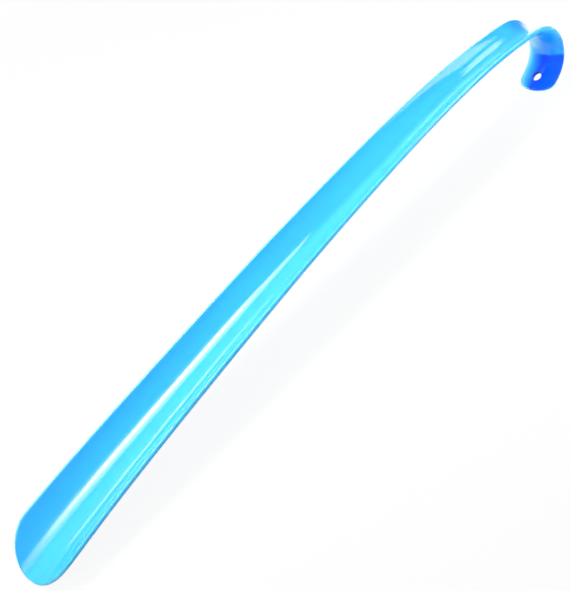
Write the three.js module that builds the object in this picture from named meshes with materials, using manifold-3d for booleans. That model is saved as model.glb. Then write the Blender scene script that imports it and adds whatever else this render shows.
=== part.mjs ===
// Long-handled shoe horn: one plastic moulding, a curved trough that narrows from a broad
// blade to a slim shank and bends over its back into a hook with a hang hole.
// Millimetres, +Z up. It lies on its back, trough up, toe towards -X and hook towards +X.

import * as THREE from "three";
import { mergeVertices } from "three/addons/utils/BufferGeometryUtils.js";
import Module from "manifold-3d";

// Driving dimensions: lengths along the middle line of the moulding
const bodyLength = 367; // toe tip to the start of the hook
const bladeLength = 135; // toe tip to the end of the blade
const toeRound = 22.5; // length of the rounded toe
const tabLength = 9; // straight end of the hook
const tabRound = 7.8; // length of the rounded tab end

// Driving dimensions: widths, rim to rim
const bladeWidth = 42;
const shankWidth = 22.4;
const tabWidth = 20.4;

// Driving dimensions: radius of the trough across the moulding
const toeTroughRadius = 28.7;
const waistTroughRadius = 18.1; // half way along the body
const shankTroughRadius = 15.8; // at the start of the hook
const tabTroughRadius = 22;

// Driving dimensions: radius of the bow along the moulding, all towards its back
const toeBowRadius = 560;
const bladeBowRadius = 6500; // a quarter of the way along the body
const waistBowRadius = 3600;
const shankBowRadius = 980; // three quarters of the way along the body
const neckBowRadius = 246; // just before the hook
const hookRadius = 14;
const hookAngle = 148; // degrees
const hookEase = 8; // length over which the bend starts, and over which it ends

// Driving dimensions: wall, rim and hang hole
const bladeWall = 2;
const hookWall = 2.2;
const toeLipWall = 1.4; // the toe is thinned to slip behind a heel
const toeLipLength = 26;
const rimFillet = 0.7;
const holeDiameter = 5;
const holeToEnd = 7.8; // centre of the hole to the tab end
const holeChamfer = 0.35;

// Shape of the taper and of the two rounded ends: 2 is an ellipse, more is squarer
const taperPower = 1.34;
const toePower = 2.1;
const tabPower = 2.1;

// Largest share of a half wall that a rim's fillet takes, so that a flat is left between the two
const largestFilletShare = 0.8;

// Fineness of the faceted surface
const filletSteps = 4;
const acrossSteps = 12;
const toeSteps = 8;
const bodySpacing = 11;
const hookSpacing = 2;
const tabSteps = 5;
const spineSpacing = 0.25;
const rimSpacing = 0.4;
const holeSegments = 32;
const weldDistance = 1e-4;
const settlingRounds = 12;

// Worked out from the driving dimensions
const waist = bodyLength / 2;
const hookLength = hookRadius * THREE.MathUtils.degToRad(hookAngle);
const hookStart = bodyLength - hookEase / 2;
const tabStart = bodyLength + hookLength + hookEase / 2;
const totalLength = bodyLength + hookLength + tabLength;

const plastic = new THREE.MeshStandardMaterial({ color: 0x3cb2f4, roughness: 0.16, metalness: 0 });

// Value at a place along the moulding, by straight lines between [place, value] knots.
function alongKnots(knots, place) {
  for (let i = 1; i < knots.length; i += 1) {
    const [from, low] = knots[i - 1];
    const [to, high] = knots[i];
    if (place <= to) {
      return THREE.MathUtils.mapLinear(Math.max(place, from), from, to, low, high);
    }
  }
  return knots.at(-1)[1];
}

// Bend of the middle line, in radians for each millimetre, negative towards the back.
const bendKnots = [
  [0, -1 / toeBowRadius],
  [waist / 2, -1 / bladeBowRadius],
  [waist, -1 / waistBowRadius],
  [(waist + bodyLength) / 2, -1 / shankBowRadius],
  [hookStart, -1 / neckBowRadius],
  [bodyLength + hookEase / 2, -1 / hookRadius],
  [bodyLength + hookLength - hookEase / 2, -1 / hookRadius],
  [tabStart, 0],
];

// Curvature of the trough across the moulding.
const troughKnots = [
  [0, 1 / toeTroughRadius],
  [waist, 1 / waistTroughRadius],
  [bodyLength, 1 / shankTroughRadius],
  [bodyLength + hookLength, 1 / tabTroughRadius],
];

const wallKnots = [
  [0, bladeWall],
  [waist, bladeWall],
  [bodyLength, hookWall],
];

// The middle line in the XZ plane, walked from the toe tip in short equal steps.
function walkSpine() {
  const steps = Math.ceil(totalLength / spineSpacing);
  const step = totalLength / steps;
  const walk = [{ x: 0, z: 0, heading: 0 }];
  for (let i = 1; i <= steps; i += 1) {
    const last = walk[i - 1];
    const bend = alongKnots(bendKnots, (i - 0.5) * step);
    const middle = last.heading + bend * step / 2;
    walk.push({
      x: last.x + Math.cos(middle) * step,
      z: last.z + Math.sin(middle) * step,
      heading: last.heading + bend * step,
    });
  }
  return walk;
}

const spine = walkSpine();

function spineAt(place) {
  const at = THREE.MathUtils.clamp(place / totalLength, 0, 1) * (spine.length - 1);
  const first = spine[Math.floor(at)];
  const next = spine[Math.ceil(at)];
  const share = at - Math.floor(at);
  return {
    x: THREE.MathUtils.lerp(first.x, next.x, share),
    z: THREE.MathUtils.lerp(first.z, next.z, share),
    heading: THREE.MathUtils.lerp(first.heading, next.heading, share),
  };
}

// Share of the full width that is left at a distance from a rounded end.
function roundedEnd(distance, length, power) {
  const back = THREE.MathUtils.clamp(1 - distance / length, 0, 1);
  return (1 - back ** power) ** (1 / power);
}

// Half of the width, measured straight across.
function halfWidth(place) {
  const left = Math.max(1 - place / bodyLength, 0);
  const body = shankWidth + (bladeWidth - shankWidth) * left ** taperPower;
  const tab = alongKnots([[bodyLength, 0], [totalLength, tabWidth - shankWidth]], place);
  const toe = roundedEnd(place, toeRound, toePower);
  const end = roundedEnd(totalLength - place, tabRound, tabPower);
  return (body + tab) / 2 * toe * end;
}

// Half of the width, measured along the trough.
function halfGirth(place) {
  const curvature = alongKnots(troughKnots, place);
  return Math.asin(Math.min(halfWidth(place) * curvature, 1)) / curvature;
}

// Outline of the moulding, unrolled flat, on its +Y side.
function unrolledRim() {
  const rim = [];
  const closeToEnds = (fraction) => (1 - Math.cos(Math.PI * fraction)) / 2;
  const points = Math.ceil(totalLength / rimSpacing);
  for (let i = 0; i <= points; i += 1) {
    const place = totalLength * closeToEnds(i / points);
    rim.push(new THREE.Vector2(place, halfGirth(place)));
  }
  return rim;
}

const rim = unrolledRim();

function distanceToRim(place, across) {
  const point = new THREE.Vector2(place, Math.abs(across));
  return Math.sqrt(Math.min(...rim.map((corner) => corner.distanceToSquared(point))));
}

// Full wall, thinned towards the tip of the toe.
function wallAt(place) {
  const lip = THREE.MathUtils.smoothstep(place, 0, toeLipLength);
  return THREE.MathUtils.lerp(toeLipWall, alongKnots(wallKnots, place), lip);
}

function filletAt(place) {
  return Math.min(rimFillet, wallAt(place) / 2 * largestFilletShare);
}

// Half of the wall at a point, rounded off towards the rim.
function halfWall(place, across) {
  const fillet = filletAt(place);
  const inset = Math.min(distanceToRim(place, across), fillet);
  return wallAt(place) / 2 - fillet + Math.sqrt(fillet ** 2 - (fillet - inset) ** 2);
}

// Point of the moulding: a place along it, a distance across it, and an offset into the trough.
function pointAt(place, across, offset) {
  const { x, z, heading } = spineAt(place);
  const curvature = alongKnots(troughKnots, place);
  const turn = across * curvature;
  const rise = (1 - Math.cos(turn)) / curvature + offset * Math.cos(turn);
  return new THREE.Vector3(
    x - Math.sin(heading) * rise,
    Math.sin(turn) * (1 / curvature - offset),
    z + Math.cos(heading) * rise,
  );
}

// Insets of the rows that round a rim, from the rim to the full wall.
function rimInsets(place) {
  const turns = Array.from({ length: filletSteps + 1 }, (_, i) => i / filletSteps * Math.PI / 2);
  return turns.map((turn) => filletAt(place) * (1 - Math.cos(turn)));
}

// Distances across one section: rows close together at both rims, even ones between.
function acrossRows(place) {
  const girth = halfGirth(place);
  const insets = rimInsets(place);
  const room = Math.min(1, girth / (2 * insets.at(-1)));
  const side = insets.map((inset) => girth - inset * room);
  const inner = side.at(-1);
  const middle = Array.from({ length: acrossSteps - 1 }, (_, i) => inner * (2 * (i + 1) / acrossSteps - 1));
  const left = side.map((across) => -across);
  return [...left, ...middle, ...side.toReversed()];
}

function evenly(from, to, spacing) {
  const steps = Math.max(1, Math.ceil((to - from) / spacing));
  return Array.from({ length: steps }, (_, i) => THREE.MathUtils.lerp(from, to, i / steps));
}

// Places of the sections along a rounded end: fine at the tip, then by equal turns.
function endPlaces(length, steps, insets) {
  const turns = Array.from({ length: steps + 1 }, (_, i) => i / steps * Math.PI / 2);
  const rounded = turns.map((turn) => length * (1 - Math.cos(turn)));
  const pastFillet = insets.at(-1) + insets[1];
  return [...insets, ...rounded.filter((place) => place > pastFillet)];
}

const toePlaces = endPlaces(toeRound, toeSteps, rimInsets(0));
const tabPlaces = endPlaces(tabRound, tabSteps, rimInsets(totalLength))
  .map((place) => totalLength - place)
  .reverse();

// Closed shell over a run of sections. A section of no width closes to a point at a tip.
function mouldedShell(places) {
  const positions = [];
  const triangles = [];
  const addPoint = (point) => positions.push(...point.toArray()) / 3 - 1;
  const addTriangle = (a, b, c) => {
    if (a !== b && b !== c && c !== a) {
      triangles.push(a, b, c);
    }
  };
  const addQuad = (a, b, c, d) => {
    addTriangle(a, b, c);
    addTriangle(a, c, d);
  };
  const sections = places.map((place) => {
    const rows = acrossRows(place);
    const isTip = halfGirth(place) === 0;
    const surface = (side) => {
      if (isTip) {
        return new Array(rows.length).fill(addPoint(pointAt(place, 0, side * halfWall(place, 0))));
      }
      return rows.map((across) => addPoint(pointAt(place, across, side * halfWall(place, across))));
    };
    return { trough: surface(1), back: surface(-1) };
  });
  const last = sections[0].trough.length - 1;
  for (let i = 1; i < sections.length; i += 1) {
    const from = sections[i - 1];
    const to = sections[i];
    for (let j = 0; j < last; j += 1) {
      addQuad(from.trough[j], to.trough[j], to.trough[j + 1], from.trough[j + 1]);
      addQuad(from.back[j + 1], to.back[j + 1], to.back[j], from.back[j]);
    }
    addQuad(from.back[0], to.back[0], to.trough[0], from.trough[0]);
    addQuad(from.trough[last], to.trough[last], to.back[last], from.back[last]);
  }
  const first = sections[0];
  const final = sections.at(-1);
  for (let j = 0; j < last; j += 1) {
    addQuad(first.back[j], first.trough[j], first.trough[j + 1], first.back[j + 1]);
    addQuad(final.trough[j], final.back[j], final.back[j + 1], final.trough[j + 1]);
  }
  const geometry = new THREE.BufferGeometry();
  geometry.setAttribute("position", new THREE.Float32BufferAttribute(positions, 3));
  geometry.setIndex(triangles);
  return geometry;
}

// Tool for the hang hole: a round bar that widens where it leaves the tab, turned about Y.
function holeCutter(place) {
  const radius = holeDiameter / 2;
  const half = wallAt(place) / 2;
  const reach = half + radius;
  const wide = radius + holeChamfer + (reach - half);
  const profile = [
    new THREE.Vector2(0, -reach),
    new THREE.Vector2(wide, -reach),
    new THREE.Vector2(radius, holeChamfer - half),
    new THREE.Vector2(radius, half - holeChamfer),
    new THREE.Vector2(wide, reach),
    new THREE.Vector2(0, reach),
  ];
  const { x, z, heading } = spineAt(place);
  return new THREE.LatheGeometry(profile, holeSegments)
    .rotateX(Math.PI / 2)
    .rotateY(-heading)
    .translate(x, 0, z);
}

const manifold = await Module();
manifold.setup();

function toSolid(geometry) {
  const bare = new THREE.BufferGeometry();
  bare.setAttribute("position", geometry.getAttribute("position"));
  bare.setIndex(geometry.getIndex());
  const merged = mergeVertices(bare, weldDistance);
  const mesh = new manifold.Mesh({
    numProp: 3,
    vertProperties: new Float32Array(merged.getAttribute("position").array),
    triVerts: new Uint32Array(merged.getIndex().array),
  });
  mesh.merge();
  return new manifold.Manifold(mesh);
}

function cutAway(geometry, tool) {
  const { vertProperties, triVerts } = toSolid(geometry).subtract(toSolid(tool)).getMesh();
  const cut = new THREE.BufferGeometry();
  cut.setAttribute("position", new THREE.BufferAttribute(new Float32Array(vertProperties), 3));
  cut.setIndex(new THREE.BufferAttribute(new Uint32Array(triVerts), 1));
  return cut;
}

function named(name, geometry) {
  geometry.computeVertexNormals();
  const mesh = new THREE.Mesh(geometry, plastic.clone());
  mesh.name = name;
  return mesh;
}

function blade() {
  const trough = evenly(toeRound, bladeLength, bodySpacing).slice(1);
  return named("blade", mouldedShell([...toePlaces, ...trough, bladeLength]));
}

function shank() {
  const trough = evenly(bladeLength, hookStart, bodySpacing);
  return named("shank", mouldedShell([...trough, hookStart]));
}

function hook() {
  const bend = evenly(hookStart, totalLength - tabRound, hookSpacing);
  const shell = mouldedShell([...bend, ...tabPlaces]);
  return named("hook", cutAway(shell, holeCutter(totalLength - holeToEnd)));
}

// Lays the moulding on a level surface: its lowest points at toe and hook come to one height,
// and the origin to the middle of the space it takes up, at that height.
function layDown(pieces) {
  const points = pieces.flatMap(({ geometry }) => {
    const corners = geometry.getAttribute("position");
    const cornerAt = (_, i) => new THREE.Vector3().fromBufferAttribute(corners, i);
    return Array.from({ length: corners.count }, cornerAt);
  });
  const middle = spineAt(waist).x;
  const toeHalf = points.filter((point) => point.x < middle);
  const hookHalf = points.filter((point) => point.x >= middle);
  const crosswise = new THREE.Vector3(0, 1, 0);
  const tilted = (half, tilt) => half.map((point) => point.clone().applyAxisAngle(crosswise, tilt));
  const lowest = (half, tilt) => tilted(half, tilt)
    .reduce((low, point) => (point.z < low.z ? point : low));
  let tilt = 0;
  for (let round = 0; round < settlingRounds; round += 1) {
    const toe = lowest(toeHalf, tilt);
    const hookEnd = lowest(hookHalf, tilt);
    tilt += Math.atan2(hookEnd.z - toe.z, hookEnd.x - toe.x);
  }
  const lying = new THREE.Group();
  lying.rotation.y = tilt;
  lying.add(...pieces);
  const box = new THREE.Box3().setFromPoints(tilted(points, tilt));
  lying.position.set(-(box.min.x + box.max.x) / 2, 0, -box.min.z);
  return lying;
}

const shoeHorn = new THREE.Group();
shoeHorn.add(layDown([blade(), shank(), hook()]));

export default shoeHorn;
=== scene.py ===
from math import pi, radians

import bpy
import numpy as np
from bpy.props import FloatProperty, FloatVectorProperty, PointerProperty
from bpy.types import Operator, Panel, PropertyGroup
from mathutils import Matrix, Quaternion, Vector


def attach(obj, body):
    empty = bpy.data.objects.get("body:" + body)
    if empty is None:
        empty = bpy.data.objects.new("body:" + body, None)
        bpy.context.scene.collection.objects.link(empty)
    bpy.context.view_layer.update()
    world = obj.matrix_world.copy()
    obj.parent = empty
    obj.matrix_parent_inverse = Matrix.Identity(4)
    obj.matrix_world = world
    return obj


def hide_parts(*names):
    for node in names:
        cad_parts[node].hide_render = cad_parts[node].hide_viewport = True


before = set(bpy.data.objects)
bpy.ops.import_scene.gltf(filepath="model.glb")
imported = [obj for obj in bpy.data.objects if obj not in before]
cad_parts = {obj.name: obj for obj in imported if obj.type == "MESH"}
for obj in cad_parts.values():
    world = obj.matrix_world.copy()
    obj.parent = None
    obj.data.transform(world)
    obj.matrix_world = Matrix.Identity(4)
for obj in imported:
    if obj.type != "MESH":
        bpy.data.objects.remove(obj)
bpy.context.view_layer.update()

bl_info = {
    "name": "Long-handled shoe horn",
    "version": (1, 0, 0),
    "blender": (4, 5, 0),
    "location": "3D View > Sidebar > Shoe horn",
    "description": "Builds a hooked shoe horn, moulded in one piece of glossy blue plastic, on a pale floor",
    "category": "Object",
}

# How finely the moulding is divided. Places run along it, rows run across it.
SPINE_STEPS = 8000
TOE_PLACES = 61
BODY_PLACES = 230
NECK_PLACES = 30
HOOK_PLACES = 100
TAB_PLACES = 31
NECK_LENGTH = 0.02
RIM_ROWS = 8
INNER_ROWS = 59
HOLE_MARGIN = 0.0014
HOLE_RING_SHARES = (0.25, 0.5, 0.75, 0.9, 1.0)
HOLE_ROUND_RINGS = 7
TILT_ROUNDS = 12

# The rim's rounding takes at most this much of the half wall, and of the girth near the tips.
RIM_WALL_SHARE = 0.8
RIM_GIRTH_SHARE = 0.3
# Points within this many roundings of the rim are measured to it, so many at a time.
RIM_SEARCH = 1.6
RIM_BATCH = 2000
TINY_LENGTH = 1e-6
TINY_AREA = 1e-18

# Where each tone of painted light and shade comes in, from none at the first number to all at the second.
# Place spans are metres from the toe, and hook spans are metres past the start of the hook.
# Share spans run across the sheet, from -1 at the near rim to 1 at the far rim.
# Turn spans are radians round the trough.

# Painted light: a pale tone on the near wall of the trough, a little less of it up at the rim.
# Along the shank its border lies nearer that rim.
PALE_TURN = 0.36
PALE_SHIFT = 0.22
PALE_SHIFT_PLACE = (0.17, 0.26)
PALE_BORDER_TURN = (0.0, -0.3)
PALE_LOSS = 0.2
PALE_LOSS_TURN = (-0.38, -0.63)

# Painted shade: a duller tone on the back, under the near rim.
SHADE_SHARE = (-0.6, -0.9)

# Painted shade inside the hook. It opens up towards the far rim and at the near rim of the bend.
INSIDE_HOOK = (-0.004, 0.004)
OPEN_SIDE_SHARE = (0.1, 0.8)
OPEN_BEND_SHARE = (-0.2, 0.25)
OPEN_BEND_HOOK = (0.012, 0.018)
OPEN_RIM = 0.8
OPEN_RIM_SHARE = (-0.6, -0.85)
OPEN_RIM_HOOK = (0.02, 0.008)

# Deep painted shade. A hint of it grows round the bend, and it sets in along a slanting line above the tab.
DEEP_HINT = 0.2
DEEP_HINT_HOOK = (0.0, 0.0235)
DEEP_HOOK = (0.0225, 0.0245)
DEEP_SLANT = 0.0012
DEEP_FADE_SHARE = (-0.1, 0.7)
# A little of this painted shade lies over the crest.
CREST = 0.35
CREST_IN_HOOK = (-0.005, 0.002)
CREST_OUT_HOOK = (0.014, 0.008)
CREST_SHARE = (0.1, 0.6)

# Painted highlights in the palest tone: the tab's far edge, a sheen in the bend, the far rim
# and the inner edge of the near rim.
TAB_EDGE = 0.9
TAB_EDGE_SHARE = (0.5, 1.0)
SHEEN = 0.85
SHEEN_IN_HOOK = (0.011, 0.015)
SHEEN_OUT_HOOK = (0.024, 0.02)
SHEEN_SHARE = (-0.1, 0.5)
FAR_RIM_SHARE = (0.955, 0.985)
NEAR_LINE = 0.4
NEAR_LINE_SHARE = (-0.945, -0.975)

# Painted shade in the hanging hole, by the distance from its wall.
BORE_REACH = (0.0003, 0.0)

# Texture of the plastic, in lumps per metre on each axis.
FLOW_LUMPS = (14.0, 70.0, 70.0)
FLOW_TINT = (0.95, 1.05)
GRAIN_LUMPS = (900.0, 900.0, 900.0)
GRAIN_ROUGHNESS = (-0.008, 0.004)
HAIR_LUMPS = (16.0, 2600.0, 2600.0)
HAIR_ROUGHNESS = (0.0, 0.03)
PEEL_LUMPS = (1400.0, 1400.0, 1400.0)
PEEL_STRENGTH = 0.012
PEEL_HEIGHT = 0.0001
# Most of a noise lies in its middle span, and hairlines are its few peaks.
NOISE_MIDDLE = (0.3, 0.7)
NOISE_PEAKS = (0.66, 0.8)

# Light in the plastic.
PLASTIC_IOR = 1.5
SCATTER_SHARE = 0.35
SCATTER_RADIUS = (0.1, 0.4, 1.0)
SCATTER_SCALE = 0.003

# Floor and air: their own paint and light, how much plain white the camera sees in their place,
# and how much of that white the gloss sees.
FLOOR_REACH = 3.0
FLOOR_MATT = (0.8, 0.8, 0.8, 1.0)
FLOOR_WHITE = 0.92
FLOOR_GLOSS = 0.1
AIR_COLOUR = (1.0, 1.0, 1.0, 1.0)
AIR_LIGHT = 0.1
AIR_WHITE = 1.0
AIR_GLOSS = 0.15

# Share of a lamp's face over which it fades at its start, end, low and high edges.
SOFT_EDGES = (0.3, 0.3, 0.3, 0.3)
WIDE_BEAM = radians(75)
TAB_BEAM = radians(12)
SENSOR_WIDTH = 36.0

# Sockets of a mix node that carry its share and its colours.
MIX_SHARE = 0
MIX_FIRST = 6
MIX_SECOND = 7
MIX_COLOUR = 2


def length(name, description, default):
    """A length in metres that a user may change."""
    return FloatProperty(
        name=name, description=description, default=default, min=0.0, unit="LENGTH", precision=5)


def power(name, description, default):
    """A plain number that sets how full a rounded outline is."""
    return FloatProperty(name=name, description=description, default=default, min=1.0, max=6.0)


def colour(name, description, default):
    """A colour in linear light."""
    return FloatVectorProperty(
        name=name, description=description, default=default, size=3, min=0.0, max=1.0, subtype="COLOR")


def position(name, description, default):
    """A place in metres."""
    return FloatVectorProperty(
        name=name, description=description, default=default, size=3, subtype="TRANSLATION")


class ShoeHornSizes(PropertyGroup):
    """Sizes of the moulding."""
    body_length: length("Body length", "From the toe to where the hook starts, along the bow", 0.367)
    toe_round: length("Toe round", "Length of the rounded toe", 0.0225)
    tab_length: length("Tab length", "Length past the end of the hook", 0.009)
    tab_round: length("Tab round", "Length of the rounded end of the tab", 0.0078)
    blade_width: length("Blade width", "Width the blade tapers from", 0.042)
    shank_width: length("Shank width", "Width where the hook starts", 0.0224)
    tab_width: length("Tab width", "Width at the end of the tab", 0.0204)
    toe_trough: length("Toe trough radius", "Radius across the trough at the toe", 0.0287)
    waist_trough: length("Waist trough radius", "Radius across the trough halfway along", 0.0181)
    shank_trough: length("Shank trough radius", "Radius across the trough where the hook starts", 0.0158)
    tab_trough: length("Tab trough radius", "Radius across the tab", 0.022)
    toe_bow: length("Toe bow radius", "Radius of the bow at the toe", 0.56)
    blade_bow: length("Blade bow radius", "Radius of the bow a quarter of the way along", 6.5)
    waist_bow: length("Waist bow radius", "Radius of the bow halfway along", 3.6)
    shank_bow: length("Shank bow radius", "Radius of the bow three quarters of the way along", 0.98)
    neck_bow: length("Neck bow radius", "Radius of the bow just before the hook", 0.246)
    hook_radius: length("Hook radius", "Radius of the hook's middle line", 0.014)
    hook_angle: FloatProperty(
        name="Hook angle", description="Turn of the hook", default=radians(148.0), min=0.0, max=pi,
        subtype="ANGLE")
    hook_ease: length("Hook ease", "Length over which the bow tightens into the hook", 0.008)
    blade_wall: length("Blade wall", "Wall of the blade", 0.002)
    hook_wall: length("Hook wall", "Wall of the hook", 0.0022)
    lip_wall: length("Toe lip wall", "Wall at the tip of the toe", 0.0014)
    lip_length: length("Toe lip length", "Length over which the wall thins towards the tip", 0.026)
    rim_round: length("Rim rounding", "Radius that breaks both edges of the rim", 0.0007)
    hole_width: length("Hole width", "Width of the hanging hole", 0.005)
    hole_to_end: length("Hole to end", "From the hole's middle to the end of the tab", 0.0078)
    hole_round: length("Hole rounding", "Radius that breaks both edges of the hole", 0.00035)
    taper_power: power("Taper power", "How soon the width narrows behind the toe", 1.34)
    toe_power: power("Toe fullness", "How square the rounded toe is", 2.1)
    tab_power: power("Tab fullness", "How square the rounded tab is", 2.1)


class ShoeHornFinish(PropertyGroup):
    """Colours and polish of the plastic, with painted light and shade in every colour but the main blue."""
    plastic: colour("Plastic", "Main blue of the plastic", (0.04, 0.46, 1.0))
    # Painted light on the near wall of the trough.
    pale: colour("Pale plastic", "Lighter blue on the near wall of the trough", (0.075, 0.625, 1.0))
    # Painted shade under the near rim.
    shade: colour("Shaded plastic", "Duller blue under the near rim", (0.042, 0.46, 0.8))
    # Painted shade inside the hook.
    hook_shade: colour("Sheltered plastic", "Deeper blue on the inside of the hook", (0.015, 0.38, 1.0))
    # Painted shade, deepest inside the tab.
    deep_shade: colour("Deep plastic", "Deepest blue on the inside of the tab", (0.003, 0.095, 1.0))
    # Painted shade in the hanging hole.
    bore_shade: colour("Hole plastic", "Dark blue in the wall of the hanging hole", (0.01, 0.05, 0.45))
    # Painted highlights along thin edges and in the bend of the hook.
    edge: colour("Edge plastic", "Palest blue on edges that light comes through", (0.25, 0.78, 0.88))
    roughness: FloatProperty(
        name="Roughness", description="Roughness of the polish", default=0.04, min=0.0, max=1.0)


class ShoeHornStage(PropertyGroup):
    """Floor and camera."""
    floor: colour("Floor", "Colour of the floor and of the air round it", (1.0, 1.0, 1.0))
    camera_place: position("Camera place", "Where the camera stands", (-0.33575, -0.51119, 0.47852))
    camera_aim: position("Camera aim", "What the camera looks at", (-0.01613, 0.0016, 0.01564))
    camera_roll: FloatProperty(
        name="Camera roll", description="Turn of the camera about its view", default=radians(23.43),
        subtype="ANGLE")
    camera_lens: FloatProperty(
        name="Camera lens", description="Focal length on a 36 mm sensor", default=100.23, min=1.0,
        unit="CAMERA")


class Moulding:
    """The moulding as a bent sheet: place runs along it from the toe, across runs from its middle line."""

    def __init__(self, sizes):
        self.sizes = sizes
        self.hook_start = sizes.body_length
        self.hook_end = sizes.body_length + sizes.hook_radius * sizes.hook_angle
        self.end = self.hook_end + sizes.tab_length
        self.hole = self.end - sizes.hole_to_end
        self.walk_spine()
        self.rim = self.unrolled_rim()

    def bend(self, place):
        """Curvature of the bow and the hook."""
        s = self.sizes
        ease = s.hook_ease / 2
        places = (0, 0.25 * s.body_length, 0.5 * s.body_length, 0.75 * s.body_length,
                  self.hook_start - ease, self.hook_start + ease, self.hook_end - ease, self.hook_end + ease)
        bends = (1 / s.toe_bow, 1 / s.blade_bow, 1 / s.waist_bow, 1 / s.shank_bow, 1 / s.neck_bow,
                 1 / s.hook_radius, 1 / s.hook_radius, 0)
        return -np.interp(place, places, bends)

    def walk_spine(self):
        """Walk the middle line from the toe in short steps, turning by the bend."""
        step = self.end / SPINE_STEPS
        turn = self.bend((np.arange(SPINE_STEPS) + 0.5) * step) * step
        heading = np.concatenate(([0], np.cumsum(turn)))
        middle = heading[:-1] + turn / 2
        self.walk = np.arange(SPINE_STEPS + 1) * step
        self.walk_x = np.concatenate(([0], np.cumsum(np.cos(middle) * step)))
        self.walk_z = np.concatenate(([0], np.cumsum(np.sin(middle) * step)))
        self.walk_heading = heading

    def rounded_end(self, distance, size, fullness):
        """Share of the full width at a distance from a rounded end."""
        left = np.clip(1 - distance / size, 0, 1)
        return (1 - left ** fullness) ** (1 / fullness)

    def half_width(self, place):
        """Half the width, measured straight across."""
        s = self.sizes
        taper = np.maximum(1 - place / s.body_length, 0) ** s.taper_power
        body = s.shank_width + (s.blade_width - s.shank_width) * taper
        tab = np.interp(place, (self.hook_start, self.end), (0, s.tab_width - s.shank_width))
        toe = self.rounded_end(place, s.toe_round, s.toe_power)
        return (body + tab) / 2 * toe * self.rounded_end(self.end - place, s.tab_round, s.tab_power)

    def trough(self, place):
        """Curvature across the trough."""
        s = self.sizes
        places = (0, s.body_length / 2, self.hook_start, self.hook_end)
        curves = (1 / s.toe_trough, 1 / s.waist_trough, 1 / s.shank_trough, 1 / s.tab_trough)
        return np.interp(place, places, curves)

    def half_girth(self, place):
        """Half the width, measured round the trough."""
        curve = self.trough(place)
        return np.arcsin(np.minimum(self.half_width(place) * curve, 1)) / curve

    def wall(self, place):
        """Thickness of the sheet, thinner towards the tip of the toe."""
        s = self.sizes
        full = np.interp(place, (s.body_length / 2, s.body_length), (s.blade_wall, s.hook_wall))
        return s.lip_wall + (full - s.lip_wall) * ramp(place, 0, s.lip_length)

    def stations(self):
        """Places along the moulding, close together at the ends and in the hook."""
        s = self.sizes
        neck_start = s.body_length - NECK_LENGTH
        toe = s.toe_round * (1 - np.cos(np.linspace(0, pi / 2, TOE_PLACES)))
        body = np.linspace(s.toe_round, neck_start, BODY_PLACES)
        neck = np.linspace(neck_start, self.hook_start, NECK_PLACES)
        hook = np.linspace(self.hook_start, self.end - s.tab_round, HOOK_PLACES)
        tab = self.end - s.tab_round * (1 - np.cos(np.linspace(pi / 2, 0, TAB_PLACES)))
        return np.concatenate((toe, body[1:], neck[1:], hook[1:], tab[1:]))

    def unrolled_rim(self):
        """Outline of the sheet before it is bent, as points along one half."""
        places = self.stations()
        fine = np.unique(np.concatenate((places, (places[1:] + places[:-1]) / 2)))
        return np.stack((fine, self.half_girth(fine)), axis=1)

    def rim_inset(self, place, across):
        """Distance in from the rim, up to the rounding that breaks it."""
        reach = self.sizes.rim_round
        search = RIM_SEARCH * reach
        inset = np.full(place.shape, reach)
        straight = self.half_girth(place) - np.abs(across)
        near = (straight < search) | (place < search) | (self.end - place < search)
        points = np.stack((place[near], np.abs(across[near])), axis=1)
        start = self.rim[:-1]
        along = self.rim[1:] - start
        span = np.maximum((along ** 2).sum(axis=1), TINY_AREA)
        nearest = np.empty(len(points))
        for first in range(0, len(points), RIM_BATCH):
            away = points[first:first + RIM_BATCH, None, :] - start
            share = np.clip((away * along).sum(axis=2) / span, 0, 1)
            gap = away - share[:, :, None] * along
            nearest[first:first + RIM_BATCH] = np.sqrt((gap ** 2).sum(axis=2).min(axis=1))
        inset[near] = np.minimum(nearest, reach)
        return inset

    def shaved(self, inset, rounding):
        """How much a rounding takes off the wall at a distance in from an edge."""
        left = rounding - np.clip(inset, 0, rounding)
        return rounding - np.sqrt(np.maximum(rounding ** 2 - left ** 2, 0))

    def from_hole(self, place, across):
        """Distance out from the wall of the hole."""
        return np.hypot(place - self.hole, across) - self.sizes.hole_width / 2

    def half_wall(self, place, across):
        """Half the wall, with the rim and the hole rounded over."""
        s = self.sizes
        half = self.wall(place) / 2
        rim_round = np.minimum(s.rim_round, RIM_WALL_SHARE * half)
        rim = self.shaved(self.rim_inset(place, across), rim_round)
        return half - rim - self.shaved(self.from_hole(place, across), s.hole_round)

    def point(self, place, across, offset):
        """Point of the bent sheet, offset towards the trough's open side."""
        x = np.interp(place, self.walk, self.walk_x)
        z = np.interp(place, self.walk, self.walk_z)
        heading = np.interp(place, self.walk, self.walk_heading)
        curve = self.trough(place)
        turn = across * curve
        rise = (1 - np.cos(turn)) / curve + offset * np.cos(turn)
        return np.stack((x - np.sin(heading) * rise, np.sin(turn) * (1 / curve - offset),
                         z + np.cos(heading) * rise), axis=-1)

    def rows(self, girth):
        """Distances across the sheet at one place, close together along the rim."""
        round_rows = 1 - np.cos(np.linspace(0, pi / 2, RIM_ROWS))
        inset = round_rows * min(self.sizes.rim_round, RIM_GIRTH_SHARE * girth)
        inner = np.linspace(-1, 1, INNER_ROWS)[1:-1] * (girth - inset[-1])
        return np.concatenate((inset - girth, inner, girth - inset[::-1]))


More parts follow.
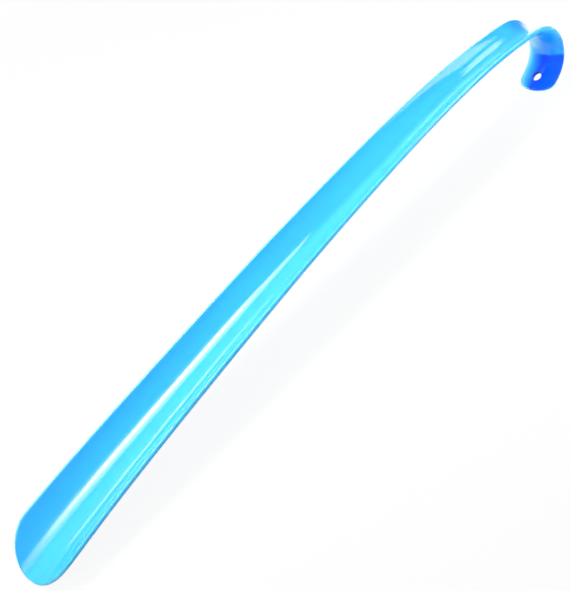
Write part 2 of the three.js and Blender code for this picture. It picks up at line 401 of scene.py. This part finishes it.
class MeshMaker:
    """Collects points and faces of a mesh, with each point's place on the sheet."""

    def __init__(self):
        self.points = []
        self.place = []
        self.across = []
        self.side = []
        self.faces = []
        self.count = 0

    def add(self, moulding, place, across, side):
        """Add points of the sheet on its trough side, 1, or its back, -1, and return their numbers."""
        place = np.asarray(place, dtype=float)
        across = np.asarray(across, dtype=float)
        flat_place = place.ravel()
        flat_across = across.ravel()
        offset = side * moulding.half_wall(flat_place, flat_across)
        self.points.append(moulding.point(flat_place, flat_across, offset))
        self.place.append(flat_place)
        self.across.append(flat_across)
        self.side.append(np.full(flat_place.shape, float(side)))
        numbers = np.arange(self.count, self.count + flat_place.size)
        self.count += flat_place.size
        return numbers.reshape(place.shape)

    def face(self, corners, flip):
        """Add one face, turned over if flip is set."""
        numbers = [int(corner) for corner in corners]
        self.faces.append(numbers[::-1] if flip else numbers)

    def band(self, first, second, flip):
        """Quads between two closed or open runs of point numbers of one length."""
        for corners in zip(first[:-1], first[1:], second[1:], second[:-1]):
            self.face(corners, flip)


def skin(maker, moulding, side, places, rows, block):
    """One face of the moulding, with the hole set into a block of its quads, and the hole's own edge."""
    grid = maker.add(moulding, np.repeat(places[1:-1, None], rows.shape[1], axis=1), rows[1:-1], side)
    flip = side < 0
    i0, i1, j0, j1 = block
    for i in range(grid.shape[0] - 1):
        for j in range(grid.shape[1] - 1):
            if i0 <= i < i1 and j0 <= j < j1:
                continue
            maker.face((grid[i, j], grid[i + 1, j], grid[i + 1, j + 1], grid[i, j + 1]), flip)
    tips = []
    for end, row, turned in ((places[:1], grid[0], flip), (places[-1:], grid[-1], not flip)):
        tip = int(maker.add(moulding, end, np.zeros(1), side)[0])
        tips.append(tip)
        for a, b in zip(row[:-1], row[1:]):
            maker.face((tip, a, b), turned)
    return grid, tips, hole_edge(maker, moulding, side, places[1:-1], rows[1:-1], grid, block)


def hole_edge(maker, moulding, side, places, rows, grid, block):
    """Rings of quads from a block's outline to the rounded edge of the hole."""
    i0, i1, j0, j1 = block
    steps = [(i, j0) for i in range(i0, i1)] + [(i1, j) for j in range(j0, j1)]
    steps += [(i, j1) for i in range(i1, i0, -1)] + [(i0, j) for j in range(j1, j0, -1)]
    steps.append(steps[0])
    outline = np.array([grid[i, j] for i, j in steps])
    flat = np.array([(places[i], rows[i, j]) for i, j in steps[:-1]]) - (moulding.hole, 0)
    ray = flat / np.linalg.norm(flat, axis=1)[:, None]
    radius = moulding.sizes.hole_width / 2
    rounding = moulding.sizes.hole_round
    angles = np.linspace(pi / 2, 0, HOLE_ROUND_RINGS)[1:]
    rings = [flat * (1 - share) + ray * (radius + rounding) * share for share in HOLE_RING_SHARES]
    rings += [ray * (radius + rounding * (1 - np.cos(angle))) for angle in angles]
    before = outline
    for ring in rings:
        numbers = maker.add(moulding, ring[:, 0] + moulding.hole, ring[:, 1], side)
        numbers = np.append(numbers, numbers[0])
        maker.band(before, numbers, side < 0)
        before = numbers
    return before


def ramp(values, start, stop):
    """Smooth share from 0 at start to 1 at stop."""
    share = np.clip((values - start) / (stop - start), 0, 1)
    return share * share * (3 - 2 * share)


def hook_tones(hook, share, back):
    """Shares of the painted shade and highlights in the hook, by distance past its start and share of the
    way across.
    """
    inside = np.where(back, ramp(hook, *INSIDE_HOOK), 0)
    open_bend = ramp(share, *OPEN_BEND_SHARE) * ramp(hook, *OPEN_BEND_HOOK)
    opened = np.maximum(open_bend, ramp(share, *OPEN_SIDE_SHARE))
    open_rim = OPEN_RIM * ramp(share, *OPEN_RIM_SHARE) * ramp(hook, *OPEN_RIM_HOOK)
    deep_line = ramp(hook - DEEP_SLANT * (1 + share), *DEEP_HOOK)
    deep_shade = np.maximum(DEEP_HINT * ramp(hook, *DEEP_HINT_HOOK), deep_line)
    deep_shade = deep_shade * (1 - ramp(share, *DEEP_FADE_SHARE))
    # Painted shade over the crest and a painted sheen in the bend.
    crest = ramp(hook, *CREST_IN_HOOK) * ramp(hook, *CREST_OUT_HOOK) * ramp(share, *CREST_SHARE)
    sheen = ramp(hook, *SHEEN_IN_HOOK) * ramp(hook, *SHEEN_OUT_HOOK) * ramp(share, *SHEEN_SHARE)
    return {
        "inside": inside,
        "hook_shade": inside * (1 - opened) * (1 - open_rim),
        "deep_shade": np.maximum(inside * deep_shade, np.where(back, 0, CREST * crest)),
        "edge": inside * np.maximum(TAB_EDGE * ramp(share, *TAB_EDGE_SHARE), SHEEN * sheen),
    }


def tones(maker, moulding):
    """Share of each tone of painted light and shade at each point of the mesh."""
    place = np.concatenate(maker.place)
    across = np.concatenate(maker.across)
    back = np.concatenate(maker.side) < 0
    share = across / np.maximum(moulding.half_girth(place), TINY_LENGTH)
    hook = hook_tones(place - moulding.hook_start, share, back)
    # Painted light on the near wall of the trough, by its turn round the trough.
    past = across * moulding.trough(place) - PALE_TURN + PALE_SHIFT * ramp(place, *PALE_SHIFT_PLACE)
    # Painted highlight along the inner edge of the near rim.
    near_line = np.where(back, 0, NEAR_LINE * ramp(share, *NEAR_LINE_SHARE))
    return {
        "pale": ramp(past, *PALE_BORDER_TURN) * (1 - PALE_LOSS * ramp(past, *PALE_LOSS_TURN)),
        "shade": np.where(back, ramp(share, *SHADE_SHARE), 0) * (1 - hook["inside"]),
        "hook_shade": hook["hook_shade"],
        "deep_shade": hook["deep_shade"],
        "edge": np.maximum.reduce([hook["edge"], ramp(share, *FAR_RIM_SHARE), near_line]),
        "bore_shade": ramp(moulding.from_hole(place, across), *BORE_REACH),
    }


def hole_block(moulding, places, rows):
    """First and last place and row of the block of quads that the hole is set into."""
    around = moulding.sizes.hole_width / 2 + HOLE_MARGIN
    along = np.abs(places - moulding.hole)
    inside = np.flatnonzero(along < around)
    wide = np.flatnonzero(np.abs(rows[int(np.argmin(along))]) < around)
    return int(inside[0]), int(inside[-1]), int(wide[0]), int(wide[-1])


def moulding_mesh(moulding):
    """The whole moulding as one closed mesh of quads, lying on its toe and its hook."""
    places = moulding.stations()
    rows = np.array([moulding.rows(girth) for girth in moulding.half_girth(places)])
    block = hole_block(moulding, places[1:-1], rows[1:-1])
    maker = MeshMaker()
    top, top_tips, top_hole = skin(maker, moulding, 1, places, rows, block)
    back, back_tips, back_hole = skin(maker, moulding, -1, places, rows, block)
    for column, flip in ((0, True), (-1, False)):
        top_rim = np.concatenate(([top_tips[0]], top[:, column], [top_tips[1]]))
        back_rim = np.concatenate(([back_tips[0]], back[:, column], [back_tips[1]]))
        maker.band(top_rim, back_rim, flip)
    maker.band(top_hole, back_hole, False)
    points = lie_down(np.concatenate(maker.points))
    mesh = bpy.data.meshes.new("shoe_horn_moulding")
    mesh.from_pydata(points.tolist(), [], maker.faces)
    for name, values in tones(maker, moulding).items():
        layer = mesh.attributes.new(name, "FLOAT", "POINT")
        layer.data.foreach_set("value", values.astype(np.float32))
    mesh.shade_smooth()
    if mesh.validate():
        raise RuntimeError("the moulding's mesh has faults")
    return mesh


def tilted(points, tilt):
    """The points' x and z after a turn about the y axis."""
    x = points[:, 0] * np.cos(tilt) + points[:, 2] * np.sin(tilt)
    z = points[:, 2] * np.cos(tilt) - points[:, 0] * np.sin(tilt)
    return x, z


def lie_down(points):
    """Tilt the moulding until its toe and its hook both touch the floor, its box centred over the origin."""
    front = points[:, 0] < points[:, 0].mean()
    tilt = 0.0
    for _ in range(TILT_ROUNDS):
        x, z = tilted(points, tilt)
        toe = np.flatnonzero(front)[np.argmin(z[front])]
        hook = np.flatnonzero(~front)[np.argmin(z[~front])]
        tilt += np.arctan2(z[hook] - z[toe], x[hook] - x[toe])
    x, z = tilted(points, tilt)
    return np.stack((x - (x.min() + x.max()) / 2, points[:, 1], z - z.min()), axis=1)


class Tree:
    """Short ways to add and join nodes of one material, lamp or world."""

    def __init__(self, block):
        block.use_nodes = True
        self.nodes = block.node_tree.nodes
        self.links = block.node_tree.links
        self.nodes.clear()

    def add(self, kind, **settings):
        """Add a node with its settings."""
        node = self.nodes.new(kind)
        for name, value in settings.items():
            setattr(node, name, value)
        return node

    def put(self, socket, value):
        """Join a socket to another, or set its value."""
        if isinstance(value, bpy.types.NodeSocket):
            self.links.new(value, socket)
        else:
            socket.default_value = value

    def math(self, operation, first, second=0.0, clamp=False):
        """One sum of two values."""
        node = self.add("ShaderNodeMath", operation=operation, use_clamp=clamp)
        self.put(node.inputs[0], first)
        self.put(node.inputs[1], second)
        return node.outputs[0]

    def noise(self, where, lumps, detail):
        """Noise with its own scale on each axis, in lumps per metre."""
        stretch = self.add("ShaderNodeMapping")
        stretch.inputs["Scale"].default_value = lumps
        self.put(stretch.inputs["Vector"], where)
        node = self.add("ShaderNodeTexNoise")
        node.inputs["Scale"].default_value = 1.0
        node.inputs["Detail"].default_value = detail
        self.put(node.inputs["Vector"], stretch.outputs[0])
        return node.outputs["Fac"]

    def span(self, value, source, target):
        """Carry a value from one span to another, and hold it there."""
        node = self.add("ShaderNodeMapRange")
        self.put(node.inputs["Value"], value)
        for name, number in zip(("From Min", "From Max", "To Min", "To Max"), (*source, *target)):
            node.inputs[name].default_value = number
        return node.outputs["Result"]

    def blend(self, way, share, first, second):
        """Mix two colours."""
        node = self.add("ShaderNodeMix", data_type="RGBA", blend_type=way)
        self.put(node.inputs[MIX_SHARE], share)
        self.put(node.inputs[MIX_FIRST], first)
        self.put(node.inputs[MIX_SECOND], second)
        return node.outputs[MIX_COLOUR]

    def between(self, share, first, second):
        """Mix two shaders."""
        mix = self.add("ShaderNodeMixShader")
        self.put(mix.inputs["Fac"], share)
        self.links.new(first.outputs[0], mix.inputs[1])
        self.links.new(second.outputs[0], mix.inputs[2])
        return mix

    def close(self, kind, shader):
        """Join the last shader to the output."""
        output = self.add(kind)
        self.links.new(shader.outputs[0], output.inputs["Surface"])


def blue_plastic(finish):
    """Glossy moulded plastic with painted light and shade in its tones, faint flow marks, a fine orange peel
    and hairlines.
    """
    material = bpy.data.materials.new("glossy_blue_plastic")
    tree = Tree(material)
    where = tree.add("ShaderNodeTexCoord").outputs["Object"]
    tint = (*finish.plastic, 1.0)
    # Painted light, shade and highlights mixed over the main blue.
    for name in ("pale", "shade", "hook_shade", "deep_shade", "edge", "bore_shade"):
        share = tree.add("ShaderNodeAttribute", attribute_name=name).outputs["Fac"]
        tint = tree.blend("MIX", share, tint, (*getattr(finish, name), 1.0))
    flow = tree.noise(where, FLOW_LUMPS, detail=2.0)
    tint = tree.blend("MULTIPLY", 1.0, tint, tree.span(flow, NOISE_MIDDLE, FLOW_TINT))
    grain = tree.noise(where, GRAIN_LUMPS, detail=2.0)
    hairs = tree.noise(where, HAIR_LUMPS, detail=1.0)
    polish = tree.span(grain, NOISE_MIDDLE, [finish.roughness + change for change in GRAIN_ROUGHNESS])
    polish = tree.math("ADD", polish, tree.span(hairs, NOISE_PEAKS, HAIR_ROUGHNESS))
    peel = tree.add("ShaderNodeBump")
    peel.inputs["Strength"].default_value = PEEL_STRENGTH
    peel.inputs["Distance"].default_value = PEEL_HEIGHT
    tree.put(peel.inputs["Height"], tree.noise(where, PEEL_LUMPS, detail=1.0))
    shader = tree.add("ShaderNodeBsdfPrincipled")
    tree.put(shader.inputs["Base Color"], tint)
    tree.put(shader.inputs["Roughness"], polish)
    tree.put(shader.inputs["Normal"], peel.outputs[0])
    shader.inputs["IOR"].default_value = PLASTIC_IOR
    shader.inputs["Subsurface Weight"].default_value = SCATTER_SHARE
    shader.inputs["Subsurface Radius"].default_value = SCATTER_RADIUS
    shader.inputs["Subsurface Scale"].default_value = SCATTER_SCALE
    tree.close("ShaderNodeOutputMaterial", shader)
    return material


def seen_white(tree, share, gloss_share):
    """Share of plain white seen by the camera and through glass, in part by the gloss. It lights nothing."""
    path = tree.add("ShaderNodeLightPath")
    gloss = tree.math("MULTIPLY", path.outputs["Is Glossy Ray"], gloss_share)
    seen = tree.math("ADD", path.outputs["Is Camera Ray"], gloss)
    seen = tree.math("ADD", seen, path.outputs["Is Transmission Ray"], clamp=True)
    return tree.math("MULTIPLY", seen, share)


def floor_paint(tint):
    """Matt paint that keeps a faint shadow."""
    material = bpy.data.materials.new("pale_floor_paint")
    tree = Tree(material)
    matt = tree.add("ShaderNodeBsdfDiffuse")
    matt.inputs["Color"].default_value = FLOOR_MATT
    white = tree.add("ShaderNodeEmission")
    white.inputs["Color"].default_value = (*tint, 1.0)
    mix = tree.between(seen_white(tree, FLOOR_WHITE, FLOOR_GLOSS), matt, white)
    tree.close("ShaderNodeOutputMaterial", mix)
    return material


def lay_floor(scene, tint):
    """Wide flat floor at the height that the part rests on."""
    mesh = bpy.data.meshes.new("floor")
    reach = FLOOR_REACH
    corners = [(-reach, -reach, 0), (reach, -reach, 0), (reach, reach, 0), (-reach, reach, 0)]
    mesh.from_pydata(corners, [], [(0, 1, 2, 3)])
    floor = bpy.data.objects.new("floor", mesh)
    floor.data.materials.append(floor_paint(tint))
    scene.collection.objects.link(floor)


def fill_air(scene, tint):
    """Dim light from all round, behind plain white."""
    world = bpy.data.worlds.new("pale_air")
    scene.world = world
    tree = Tree(world)
    air = tree.add("ShaderNodeBackground")
    air.inputs["Color"].default_value = AIR_COLOUR
    air.inputs["Strength"].default_value = AIR_LIGHT
    white = tree.add("ShaderNodeBackground")
    white.inputs["Color"].default_value = (*tint, 1.0)
    mix = tree.between(seen_white(tree, AIR_WHITE, AIR_GLOSS), air, white)
    tree.close("ShaderNodeOutputWorld", mix)


def lamp_face(data, soft, flare):
    """Fade a lamp's face towards its start, end, low and high edges, and widen it upwards by the flare."""
    tree = Tree(data)
    face = tree.add("ShaderNodeNewGeometry")
    parts = tree.add("ShaderNodeSeparateXYZ")
    tree.put(parts.inputs[0], face.outputs["Parametric"])
    up = parts.outputs[1]
    wider = tree.math("ADD", tree.math("MULTIPLY", tree.math("SUBTRACT", up, 0.5), flare), 1.0)
    over = tree.math("DIVIDE", tree.math("SUBTRACT", parts.outputs[0], 0.5), wider)
    over = tree.math("ADD", over, 0.5)
    ways = (over, tree.math("SUBTRACT", 1.0, over), up, tree.math("SUBTRACT", 1.0, up))
    share = 1.0
    for way, reach in zip(ways, soft):
        fade = tree.add("ShaderNodeMapRange", interpolation_type="SMOOTHSTEP")
        tree.put(fade.inputs["Value"], way)
        fade.inputs["From Max"].default_value = reach
        share = tree.math("MULTIPLY", fade.outputs[0], share)
    glow = tree.add("ShaderNodeEmission")
    tree.put(glow.inputs["Strength"], share)
    tree.close("ShaderNodeOutputLight", glow)


def lamp(name, place, aim, along, size, strength, soft=SOFT_EDGES, flare=0.0, spread=pi,
         gloss=True, matt=True):
    """Soft lamp turned to face a point. It may show in the gloss alone, or light the matt surface alone."""
    data = bpy.data.lights.new(name, "AREA")
    data.shape = "RECTANGLE"
    data.size, data.size_y = size
    data.energy = strength * size[0] * size[1]
    data.spread = spread
    lamp_face(data, soft, flare)
    item = bpy.data.objects.new(name, data)
    back = (Vector(place) - Vector(aim)).normalized()
    side = (Vector(along) - Vector(along).project(back)).normalized()
    turn = Matrix((side, back.cross(side), back)).transposed()
    item.matrix_world = Matrix.Translation(place) @ turn.to_4x4()
    item.visible_camera = False
    item.visible_glossy = gloss
    item.visible_diffuse = matt
    bpy.context.scene.collection.objects.link(item)


def far_card(name, place, size, strength, soft=SOFT_EDGES, gloss=True, matt=True):
    """Upright card on the far side of the part, facing straight across it."""
    aim = (place[0], 0.0, place[2])
    lamp(name, place, aim, (-1, 0, 0), size, strength, soft, gloss=gloss, matt=matt)


def hang_blade_lamps():
    """Lamps over and beside the blade and the shank."""
    # A broad lamp and a brighter tube draw the long streak down the trough.
    lamp("ceiling_lamp", place=(-0.1075, 0.12, 0.45), aim=(-0.1075, 0.06, 0.02), along=(1, 0, 0),
         size=(0.505, 0.26), strength=38.0, soft=(0.6, 0.14, 0.5, 0.5), flare=1.0)
    lamp("ceiling_tube", place=(-0.112, 0.095, 0.445), aim=(-0.112, 0.045, 0.02), along=(1, 0, 0),
         size=(0.376, 0.085), strength=58.0, soft=(0.75, 0.16, 0.3, 0.3))
    # A card lights the near wall of the trough.
    fading_up = (0.35, 0.25, 0.02, 1.0)
    far_card("side_card", place=(0.08, 0.5, 0.25), size=(0.56, 0.5), strength=6.0,
             soft=fading_up, gloss=False)
    # Cards that only the gloss shows put a sheen on that wall, with a thin line along it.
    # The blade's line stands just inside the far rim and follows it.
    far_card("blade_shine", place=(-0.105, 0.08, 0.042), size=(0.2, 0.084), strength=6.5,
             soft=(0.25, 0.5, 0.02, 1.0), matt=False)
    lamp("blade_line", place=(-0.095, 0.0146, 0.0242), aim=(-0.0981, -0.0854, 0.0242),
         along=(-0.154, 0.0048, -0.0206), size=(0.156, 0.0014), strength=15.0,
         soft=(0.35, 0.05, 0.3, 0.3), matt=False)
    far_card("shank_shine", place=(0.4, 0.5, 0.25), size=(0.5, 0.5), strength=5.5,
             soft=fading_up, matt=False)
    far_card("shank_line", place=(0.36, 0.49, 0.25), size=(0.32, 0.03), strength=5.0, matt=False)


def hang_hook_lamps():
    """Lamps and cards past the hook."""
    # Two lamps leave pale patches on the neck.
    neck = (0.15, 0.0, 0.03)
    neck_along = (0.27, 0.96, 0)
    neck_soft = (0.25, 0.25, 0.25, 0.25)
    lamp("far_end_lamp", place=(0.605, 0.223, 0.48), aim=neck, along=neck_along, size=(0.285, 0.187),
         strength=15.5, soft=neck_soft)
    lamp("near_end_lamp", place=(0.556, -0.26, 0.54), aim=neck, along=neck_along, size=(0.7, 0.21),
         strength=15.5, soft=neck_soft)
    # A lamp without gloss lifts the outside of the hook.
    lamp("hook_lamp", place=(0.6, 0.0, 0.3), aim=(0.1, 0.0, 0.02), along=(1, 0.01, 0), size=(0.2, 0.2),
         strength=3.5, spread=WIDE_BEAM, gloss=False)
    # Cards on the floor and just above it put a glint on the crest, and only the gloss shows them.
    lamp("floor_card", place=(0.33, 0.1, 0.001), aim=(0.33, 0.1, 1.0), along=(1, 0, 0), size=(0.34, 0.4),
         strength=4.0, soft=(0.5, 0.5, 0.5, 0.5), matt=False)
    lamp("low_card", place=(0.9, 0.35, 0.075), aim=(0.0, 0.35, 0.075), along=(0, 1, 0), size=(0.7, 0.15),
         strength=3.0, soft=(0.3, 0.3, 0.02, 1.0), matt=False)


def hang_fill_lamps():
    """Lamps without gloss that lift the toe, the near side and the inside of the tab."""
    lamp("toe_lamp", place=(-0.6, 0.0, 0.3), aim=(-0.1, 0.0, 0.02), along=(1, 0.01, 0), size=(0.2, 0.2),
         strength=9.5, spread=WIDE_BEAM, gloss=False)
    lamp("front_lamp", place=(0.22, -0.45, 0.22), aim=(0.12, 0.0, 0.035), along=(1, 0, 0), size=(0.3, 0.1),
         strength=15.0, spread=WIDE_BEAM, gloss=False)
    lamp("tab_lamp", place=(0.0, -0.33, 0.13), aim=(0.178, 0.0, -0.01), along=(1, 0, 0), size=(0.03, 0.03),
         strength=17.0, spread=TAB_BEAM, gloss=False)


def stand_camera(scene, look):
    """Camera at the stage's place, turned to its aim and rolled."""
    data = bpy.data.cameras.new("camera")
    data.lens = look.camera_lens
    data.sensor_width = SENSOR_WIDTH
    camera = bpy.data.objects.new("camera", data)
    place = Vector(look.camera_place)
    view = (Vector(look.camera_aim) - place).normalized()
    turn = view.to_track_quat("-Z", "Y") @ Quaternion((0, 0, 1), -look.camera_roll)
    camera.matrix_world = Matrix.Translation(place) @ turn.to_matrix().to_4x4()
    scene.collection.objects.link(camera)
    scene.camera = camera


class SHOEHORN_OT_moulding(Operator):
    """Build the moulding from toe to hanging hole"""
    bl_idname = "shoe_horn.moulding"
    bl_label = "Build moulding"

    def execute(self, context):
        scene = context.scene
        moulding = Moulding(scene.shoe_horn_sizes)
        piece = bpy.data.objects.new("shoe_horn_moulding", moulding_mesh(moulding))
        piece.data.materials.append(blue_plastic(scene.shoe_horn_finish))
        scene.collection.objects.link(piece)
        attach(piece, "root")
        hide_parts("blade", "shank", "hook")
        return {"FINISHED"}


class SHOEHORN_OT_stage(Operator):
    """Lay the floor, hang the lamps and stand the camera"""
    bl_idname = "shoe_horn.stage"
    bl_label = "Set stage"

    def execute(self, context):
        scene = context.scene
        look = scene.shoe_horn_stage
        scene.view_settings.view_transform = "Standard"
        lay_floor(scene, look.floor)
        fill_air(scene, look.floor)
        hang_blade_lamps()
        hang_hook_lamps()
        hang_fill_lamps()
        stand_camera(scene, look)
        return {"FINISHED"}


class SHOEHORN_PT_panel(Panel):
    """Sizes, finish and stage of the shoe horn"""
    bl_label = "Shoe horn"
    bl_idname = "SHOEHORN_PT_panel"
    bl_space_type = "VIEW_3D"
    bl_region_type = "UI"
    bl_category = "Shoe horn"

    def draw(self, context):
        layout = self.layout
        scene = context.scene
        for heading, group, operator in (
                ("Moulding", scene.shoe_horn_sizes, SHOEHORN_OT_moulding),
                ("Finish", scene.shoe_horn_finish, None),
                ("Stage", scene.shoe_horn_stage, SHOEHORN_OT_stage)):
            box = layout.box()
            box.label(text=heading)
            for name in group.__annotations__:
                box.prop(group, name)
            if operator:
                box.operator(operator.bl_idname)


CLASSES = (
    ShoeHornSizes, ShoeHornFinish, ShoeHornStage,
    SHOEHORN_OT_moulding, SHOEHORN_OT_stage, SHOEHORN_PT_panel,
)


def register():
    """Add the classes and the scene's settings."""
    for item in CLASSES:
        bpy.utils.register_class(item)
    bpy.types.Scene.shoe_horn_sizes = PointerProperty(type=ShoeHornSizes)
    bpy.types.Scene.shoe_horn_finish = PointerProperty(type=ShoeHornFinish)
    bpy.types.Scene.shoe_horn_stage = PointerProperty(type=ShoeHornStage)


def unregister():
    """Take the scene's settings and the classes away again."""
    del bpy.types.Scene.shoe_horn_stage
    del bpy.types.Scene.shoe_horn_finish
    del bpy.types.Scene.shoe_horn_sizes
    for item in reversed(CLASSES):
        bpy.utils.unregister_class(item)


def main():
    """Build the shoe horn on its stage."""
    register()
    bpy.ops.shoe_horn.moulding()
    bpy.ops.shoe_horn.stage()


if __name__ == "__main__":
    main()
